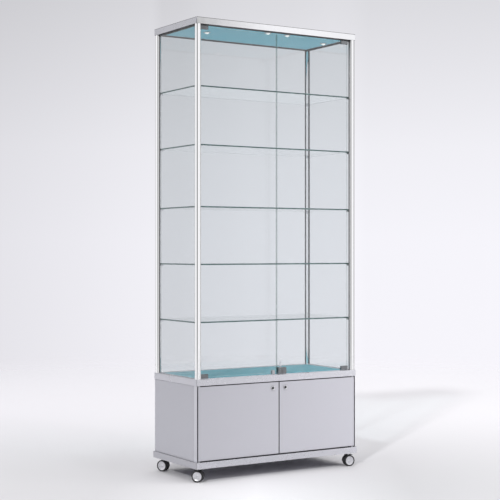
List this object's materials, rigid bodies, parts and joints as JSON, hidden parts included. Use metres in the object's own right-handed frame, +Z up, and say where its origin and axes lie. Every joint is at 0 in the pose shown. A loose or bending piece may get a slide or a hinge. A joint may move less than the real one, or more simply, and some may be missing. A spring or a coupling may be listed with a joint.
{
  "type": "trophy cabinet",
  "caption": "Free-standing glazed trophy display cabinet with glass shelves, hinged lockable glass doors and a lower storage cupboard, on swivel castors.",
  "frame": {"origin": "on the floor, under the middle of the cabinet", "axes": "+X to the cabinet's right as seen from the front, +Y from front to back, +Z up"},
  "size_m": [0.848, 0.39, 1.98],
  "materials": {
    "aluminium": "satin anodised",
    "clear_glass": "clear toughened, polished edges",
    "shelf_glass": "clear toughened, ground edges",
    "seal_rubber": "matt grey",
    "blue_laminate": "satin blue-grey laminate",
    "grey_board": "light grey laminate on board",
    "grey_paint": "matt paint",
    "chrome": "polished",
    "steel": "plain zinc plated",
    "lens": "frosted white",
    "white_plastic": "matt",
    "black_plastic": "moulded, satin",
    "silver_plastic": "silver paint",
    "tyre_rubber": "matt black"
  },
  "bodies": {
    "cabinet": {"base_frame_rails": "aluminium", "mid_frame_rails": "aluminium", "top_frame_rails": "aluminium", "frame_fixings": "steel", "post_front_left": "aluminium", "post_front_right": "aluminium", "post_back_left": "aluminium", "post_back_right": "aluminium", "side_glass_left": "clear_glass", "side_glass_right": "clear_glass", "back_glass": "clear_glass", "glazing_seals": "seal_rubber", "shelf_1": "shelf_glass", "shelf_2": "shelf_glass", "shelf_3": "shelf_glass", "shelf_4": "shelf_glass", "shelf_5": "shelf_glass", "shelf_supports": "chrome", "display_floor": "blue_laminate", "ceiling_panel": "blue_laminate", "roof_panel": "grey_paint", "downlights": "chrome", "downlight_lenses": "lens", "led_driver": "white_plastic", "power_inlet": "black_plastic", "light_wires": "white_plastic", "door_pivot_pins": "steel", "cabinet_side_left": "grey_board", "cabinet_side_right": "grey_board", "cabinet_back": "grey_board", "cabinet_floor": "grey_board", "cabinet_edge_trims": "aluminium", "castor_plates": "steel"},
    "left_glass_door": {"glass_door_left": "clear_glass", "glass_door_left_clamps": "chrome", "glass_lock_strike": "chrome"},
    "right_glass_door": {"glass_door_right": "clear_glass", "glass_door_right_clamps": "chrome", "glass_lock_body": "chrome"},
    "glass_lock": {"glass_lock_plug": "steel"},
    "left_storage_door": {"storage_door_left": "grey_board", "storage_lock_left_body": "chrome"},
    "right_storage_door": {"storage_door_right": "grey_board", "storage_lock_right_body": "chrome"},
    "left_storage_lock": {"storage_lock_left_plug": "steel"},
    "right_storage_lock": {"storage_lock_right_plug": "steel"},
    "castor_fl": {"castor_fl_hood": "black_plastic"},
    "castor_fl_wheels": {"castor_fl_tyres": "tyre_rubber", "castor_fl_hubs": "silver_plastic"},
    "brake_fl": {"brake_pedal_fl": "black_plastic"},
    "castor_fr": {"castor_fr_hood": "black_plastic"},
    "castor_fr_wheels": {"castor_fr_tyres": "tyre_rubber", "castor_fr_hubs": "silver_plastic"},
    "brake_fr": {"brake_pedal_fr": "black_plastic"},
    "castor_bl": {"castor_bl_hood": "black_plastic"},
    "castor_bl_wheels": {"castor_bl_tyres": "tyre_rubber", "castor_bl_hubs": "silver_plastic"},
    "castor_br": {"castor_br_hood": "black_plastic"},
    "castor_br_wheels": {"castor_br_tyres": "tyre_rubber", "castor_br_hubs": "silver_plastic"}
  },
  "joints": [
    {"name": "left_glass_door_hinge", "type": "hinge", "parent": "cabinet", "child": "left_glass_door", "pos_m": [-0.383, -0.167, 1.196], "axis": [0, 0, -1], "range_deg": [0, 100]},
    {"name": "right_glass_door_hinge", "type": "hinge", "parent": "cabinet", "child": "right_glass_door", "pos_m": [0.383, -0.167, 1.196], "axis": [0, 0, 1], "range_deg": [0, 100]},
    {"name": "glass_lock_turn", "type": "hinge", "parent": "right_glass_door", "child": "glass_lock", "pos_m": [0.02405, -0.167, 0.457], "axis": [0, -1, 0], "range_deg": [0, 90]},
    {"name": "left_storage_door_hinge", "type": "hinge", "parent": "cabinet", "child": "left_storage_door", "pos_m": [-0.405, -0.1815, 0.251], "axis": [0, 0, -1], "range_deg": [0, 100]},
    {"name": "right_storage_door_hinge", "type": "hinge", "parent": "cabinet", "child": "right_storage_door", "pos_m": [0.405, -0.1815, 0.251], "axis": [0, 0, 1], "range_deg": [0, 100]},
    {"name": "left_storage_lock_turn", "type": "hinge", "parent": "left_storage_door", "child": "left_storage_lock", "pos_m": [-0.033, -0.179, 0.384], "axis": [0, 1, 0], "range_deg": [0, 90]},
    {"name": "right_storage_lock_turn", "type": "hinge", "parent": "right_storage_door", "child": "right_storage_lock", "pos_m": [0.033, -0.179, 0.384], "axis": [0, -1, 0], "range_deg": [0, 90]},
    {"name": "castor_fl_swivel", "type": "hinge", "parent": "cabinet", "child": "castor_fl", "pos_m": [-0.382, -0.164, 0.05], "axis": [0, 0, 1], "continuous": true},
    {"name": "castor_fl_roll", "type": "hinge", "parent": "castor_fl", "child": "castor_fl_wheels", "pos_m": [-0.39242, -0.15321, 0.025], "axis": [-0.7193, -0.6947, 0], "continuous": true},
    {"name": "brake_fl_press", "type": "hinge", "parent": "castor_fl", "child": "brake_fl", "pos_m": [-0.39728, -0.14818, 0.0425], "axis": [-0.7193, -0.6947, 0], "range_deg": [0, 12]},
    {"name": "castor_fr_swivel", "type": "hinge", "parent": "cabinet", "child": "castor_fr", "pos_m": [0.382, -0.164, 0.05], "axis": [0, 0, 1], "continuous": true},
    {"name": "castor_fr_roll", "type": "hinge", "parent": "castor_fr", "child": "castor_fr_wheels", "pos_m": [0.39677, -0.16661, 0.025], "axis": [0.1736, 0.9848, 0], "continuous": true},
    {"name": "brake_fr_press", "type": "hinge", "parent": "castor_fr", "child": "brake_fr", "pos_m": [0.40367, -0.16782, 0.0425], "axis": [0.1736, 0.9848, 0], "range_deg": [0, 12]},
    {"name": "castor_bl_swivel", "type": "hinge", "parent": "cabinet", "child": "castor_bl", "pos_m": [-0.382, 0.151, 0.05], "axis": [0, 0, 1], "continuous": true},
    {"name": "castor_bl_roll", "type": "hinge", "parent": "castor_bl", "child": "castor_bl_wheels", "pos_m": [-0.38927, 0.16412, 0.025], "axis": [-0.8746, -0.4848, 0], "continuous": true},
    {"name": "castor_br_swivel", "type": "hinge", "parent": "cabinet", "child": "castor_br", "pos_m": [0.382, 0.151, 0.05], "axis": [0, 0, 1], "continuous": true},
    {"name": "castor_br_roll", "type": "hinge", "parent": "castor_br", "child": "castor_br_wheels", "pos_m": [0.3679, 0.14587, 0.025], "axis": [0.342, -0.9397, 0], "continuous": true}
  ]
}
